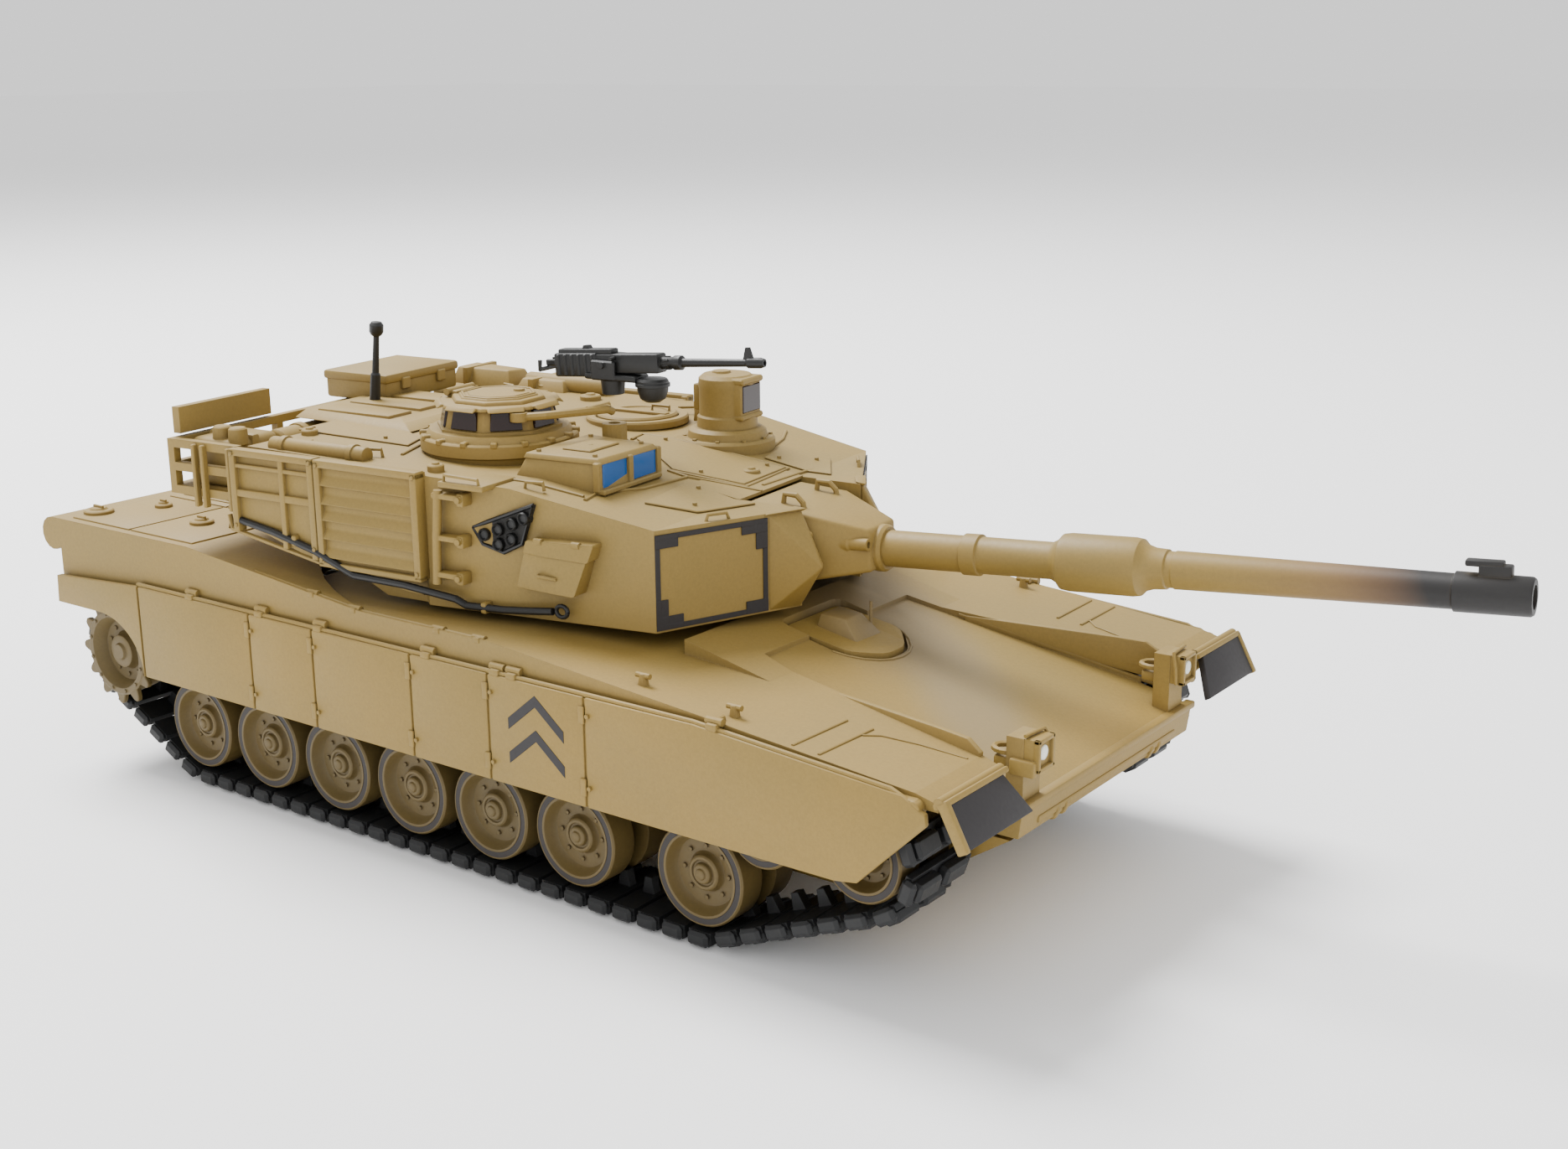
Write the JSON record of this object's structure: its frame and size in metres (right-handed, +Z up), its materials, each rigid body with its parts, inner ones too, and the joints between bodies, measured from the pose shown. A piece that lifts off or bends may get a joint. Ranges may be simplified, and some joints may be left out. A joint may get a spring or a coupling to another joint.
{
  "type": "rc tank",
  "caption": "Small radio-controlled battle tank with a turning turret, an elevating gun, driven tracks, side skirts and a roof machine gun.",
  "frame": {"origin": "middle of the footprint, at the bottom of the tracks' pads", "axes": "+X forward along the hull, +Y to the tank's left, +Z up"},
  "size_m": [0.138, 0.0508, 0.0455],
  "materials": {
    "sand_paint": "matte desert sand paint over moulded plastic",
    "black_rubber": "moulded black rubber belt",
    "dark_plastic": "dark purple grey moulded plastic",
    "motor_steel": "plated steel",
    "pinion_brass": "turned brass",
    "gear_nylon": "white moulded nylon",
    "board_green": "green solder resist",
    "battery_wrap": "blue shrink wrap"
  },
  "bodies": {
    "hull": {"battery_pack": "battery_wrap", "charge_socket": "dark_plastic", "circuit_board": "board_green", "drive_motor_left": "motor_steel", "drive_motor_right": "motor_steel", "driver_hatch": "sand_paint", "hull_lower": "sand_paint", "hull_screw_1": "motor_steel", "hull_screw_2": "motor_steel", "hull_upper": "sand_paint", "mud_flap_left": "dark_plastic", "mud_flap_right": "dark_plastic", "skirt_left": "sand_paint", "skirt_right": "sand_paint", "track_left": "black_rubber", "track_right": "black_rubber", "turret_motor": "motor_steel"},
    "turret": {"turret_shell": "sand_paint", "turret_ring": "sand_paint", "bustle_rack": "sand_paint", "stowage_left": "sand_paint", "stowage_right": "sand_paint", "rear_box": "sand_paint", "rear_plate": "sand_paint", "gunner_sight": "sand_paint", "cupola": "sand_paint", "cupola_hatch": "sand_paint", "loader_hatch": "sand_paint", "panoramic_sight": "sand_paint", "sensor_mast": "dark_plastic", "gun_post": "sand_paint"},
    "gun": {"mantlet": "sand_paint", "gun_barrel": "sand_paint"},
    "machine_gun_mount": {"machine_gun": "dark_plastic"},
    "switch_knob": {"power_switch": "dark_plastic"},
    "turret_drive_pinion": {"turret_pinion": "pinion_brass"},
    "sprocket_set_left": {"sprocket_left": "sand_paint", "drive_gear_left": "gear_nylon"},
    "motor_pinion_set_left": {"motor_pinion_left": "pinion_brass"},
    "wheel_left_1": {"road_wheel_left_1": "sand_paint"},
    "wheel_left_2": {"road_wheel_left_2": "sand_paint"},
    "wheel_left_3": {"road_wheel_left_3": "sand_paint"},
    "wheel_left_4": {"road_wheel_left_4": "sand_paint"},
    "wheel_left_5": {"road_wheel_left_5": "sand_paint"},
    "wheel_left_6": {"road_wheel_left_6": "sand_paint"},
    "wheel_left_7": {"road_wheel_left_7": "sand_paint"},
    "idler_wheel_left": {"idler_left": "sand_paint"},
    "roller_left": {"support_roller_left": "sand_paint"},
    "sprocket_set_right": {"sprocket_right": "sand_paint", "drive_gear_right": "gear_nylon"},
    "motor_pinion_set_right": {"motor_pinion_right": "pinion_brass"},
    "wheel_right_1": {"road_wheel_right_1": "sand_paint"},
    "wheel_right_2": {"road_wheel_right_2": "sand_paint"},
    "wheel_right_3": {"road_wheel_right_3": "sand_paint"},
    "wheel_right_4": {"road_wheel_right_4": "sand_paint"},
    "wheel_right_5": {"road_wheel_right_5": "sand_paint"},
    "wheel_right_6": {"road_wheel_right_6": "sand_paint"},
    "wheel_right_7": {"road_wheel_right_7": "sand_paint"},
    "idler_wheel_right": {"idler_right": "sand_paint"},
    "roller_right": {"support_roller_right": "sand_paint"}
  },
  "joints": [
    {"name": "sprocket_spin_left", "type": "hinge", "parent": "hull", "child": "sprocket_set_left", "pos_m": [-0.05864, 0.0195, 0.0121], "axis": [0, 1, 0], "continuous": true},
    {"name": "pinion_spin_left", "type": "hinge", "parent": "hull", "child": "motor_pinion_set_left", "pos_m": [-0.05454, 0.013, 0.0121], "axis": [0, 1, 0], "continuous": true},
    {"name": "wheel_spin_left_1", "type": "hinge", "parent": "hull", "child": "wheel_left_1", "pos_m": [0.01501, 0.0195, 0.0063], "axis": [0, 1, 0], "continuous": true},
    {"name": "wheel_spin_left_2", "type": "hinge", "parent": "hull", "child": "wheel_left_2", "pos_m": [0.00161, 0.0195, 0.0063], "axis": [0, 1, 0], "continuous": true},
    {"name": "wheel_spin_left_3", "type": "hinge", "parent": "hull", "child": "wheel_left_3", "pos_m": [-0.00826, 0.0195, 0.0063], "axis": [0, 1, 0], "continuous": true},
    {"name": "wheel_spin_left_4", "type": "hinge", "parent": "hull", "child": "wheel_left_4", "pos_m": [-0.01813, 0.0195, 0.0063], "axis": [0, 1, 0], "continuous": true},
    {"name": "wheel_spin_left_5", "type": "hinge", "parent": "hull", "child": "wheel_left_5", "pos_m": [-0.028, 0.0195, 0.0063], "axis": [0, 1, 0], "continuous": true},
    {"name": "wheel_spin_left_6", "type": "hinge", "parent": "hull", "child": "wheel_left_6", "pos_m": [-0.03787, 0.0195, 0.0063], "axis": [0, 1, 0], "continuous": true},
    {"name": "wheel_spin_left_7", "type": "hinge", "parent": "hull", "child": "wheel_left_7", "pos_m": [-0.04774, 0.0195, 0.0063], "axis": [0, 1, 0], "continuous": true},
    {"name": "idler_spin_left", "type": "hinge", "parent": "hull", "child": "idler_wheel_left", "pos_m": [0.03061, 0.0195, 0.0116], "axis": [0, 1, 0], "continuous": true},
    {"name": "roller_spin_left", "type": "hinge", "parent": "hull", "child": "roller_left", "pos_m": [0.02116, 0.0195, 0.0117], "axis": [0, 1, 0], "continuous": true},
    {"name": "sprocket_spin_right", "type": "hinge", "parent": "hull", "child": "sprocket_set_right", "pos_m": [-0.05864, -0.0195, 0.0121], "axis": [0, 1, 0], "continuous": true},
    {"name": "pinion_spin_right", "type": "hinge", "parent": "hull", "child": "motor_pinion_set_right", "pos_m": [-0.05454, -0.013, 0.0121], "axis": [0, 1, 0], "continuous": true},
    {"name": "wheel_spin_right_1", "type": "hinge", "parent": "hull", "child": "wheel_right_1", "pos_m": [0.01501, -0.0195, 0.0063], "axis": [0, 1, 0], "continuous": true},
    {"name": "wheel_spin_right_2", "type": "hinge", "parent": "hull", "child": "wheel_right_2", "pos_m": [0.00161, -0.0195, 0.0063], "axis": [0, 1, 0], "continuous": true},
    {"name": "wheel_spin_right_3", "type": "hinge", "parent": "hull", "child": "wheel_right_3", "pos_m": [-0.00826, -0.0195, 0.0063], "axis": [0, 1, 0], "continuous": true},
    {"name": "wheel_spin_right_4", "type": "hinge", "parent": "hull", "child": "wheel_right_4", "pos_m": [-0.01813, -0.0195, 0.0063], "axis": [0, 1, 0], "continuous": true},
    {"name": "wheel_spin_right_5", "type": "hinge", "parent": "hull", "child": "wheel_right_5", "pos_m": [-0.028, -0.0195, 0.0063], "axis": [0, 1, 0], "continuous": true},
    {"name": "wheel_spin_right_6", "type": "hinge", "parent": "hull", "child": "wheel_right_6", "pos_m": [-0.03787, -0.0195, 0.0063], "axis": [0, 1, 0], "continuous": true},
    {"name": "wheel_spin_right_7", "type": "hinge", "parent": "hull", "child": "wheel_right_7", "pos_m": [-0.04774, -0.0195, 0.0063], "axis": [0, 1, 0], "continuous": true},
    {"name": "idler_spin_right", "type": "hinge", "parent": "hull", "child": "idler_wheel_right", "pos_m": [0.03061, -0.0195, 0.0116], "axis": [0, 1, 0], "continuous": true},
    {"name": "roller_spin_right", "type": "hinge", "parent": "hull", "child": "roller_right", "pos_m": [0.02116, -0.0195, 0.0117], "axis": [0, 1, 0], "continuous": true},
    {"name": "turret_yaw", "type": "hinge", "parent": "hull", "child": "turret", "pos_m": [-0.01814, 0, 0.0232], "axis": [0, 0, 1], "range_deg": [-56, 44]},
    {"name": "turret_pinion_spin", "type": "hinge", "parent": "hull", "child": "turret_drive_pinion", "pos_m": [-0.03226, 0, 0.018], "axis": [0, 0, 1], "range_deg": [-270, 340]},
    {"name": "gun_elevation", "type": "hinge", "parent": "turret", "child": "gun", "pos_m": [0.00373, 0.00234, 0.0272], "axis": [0.1063, -0.9943, 0], "range_deg": [-7, 12]},
    {"name": "machine_gun_yaw", "type": "hinge", "parent": "turret", "child": "machine_gun_mount", "pos_m": [-0.0095, -0.0037, 0.0394], "axis": [0, 0, 1], "continuous": true},
    {"name": "switch_slide", "type": "slide", "parent": "hull", "child": "switch_knob", "axis": [1, 0, 0], "range_m": [0, 0.0016]}
  ],
  "couplings": [
    {"joint": "pinion_spin_left", "follows": "sprocket_spin_left", "ratio": -1.5},
    {"joint": "wheel_spin_left_1", "follows": "sprocket_spin_left", "ratio": 0.9604},
    {"joint": "wheel_spin_left_2", "follows": "sprocket_spin_left", "ratio": 0.9604},
    {"joint": "wheel_spin_left_3", "follows": "sprocket_spin_left", "ratio": 0.9604},
    {"joint": "wheel_spin_left_4", "follows": "sprocket_spin_left", "ratio": 0.9604},
    {"joint": "wheel_spin_left_5", "follows": "sprocket_spin_left", "ratio": 0.9604},
    {"joint": "wheel_spin_left_6", "follows": "sprocket_spin_left", "ratio": 0.9604},
    {"joint": "wheel_spin_left_7", "follows": "sprocket_spin_left", "ratio": 0.9604},
    {"joint": "idler_spin_left", "follows": "sprocket_spin_left", "ratio": 1.1412},
    {"joint": "roller_spin_left", "follows": "sprocket_spin_left", "ratio": 1.3288},
    {"joint": "pinion_spin_right", "follows": "sprocket_spin_right", "ratio": -1.5},
    {"joint": "wheel_spin_right_1", "follows": "sprocket_spin_right", "ratio": 0.9604},
    {"joint": "wheel_spin_right_2", "follows": "sprocket_spin_right", "ratio": 0.9604},
    {"joint": "wheel_spin_right_3", "follows": "sprocket_spin_right", "ratio": 0.9604},
    {"joint": "wheel_spin_right_4", "follows": "sprocket_spin_right", "ratio": 0.9604},
    {"joint": "wheel_spin_right_5", "follows": "sprocket_spin_right", "ratio": 0.9604},
    {"joint": "wheel_spin_right_6", "follows": "sprocket_spin_right", "ratio": 0.9604},
    {"joint": "wheel_spin_right_7", "follows": "sprocket_spin_right", "ratio": 0.9604},
    {"joint": "idler_spin_right", "follows": "sprocket_spin_right", "ratio": 1.1412},
    {"joint": "roller_spin_right", "follows": "sprocket_spin_right", "ratio": 1.3288},
    {"joint": "turret_pinion_spin", "follows": "turret_yaw", "ratio": -6}
  ]
}
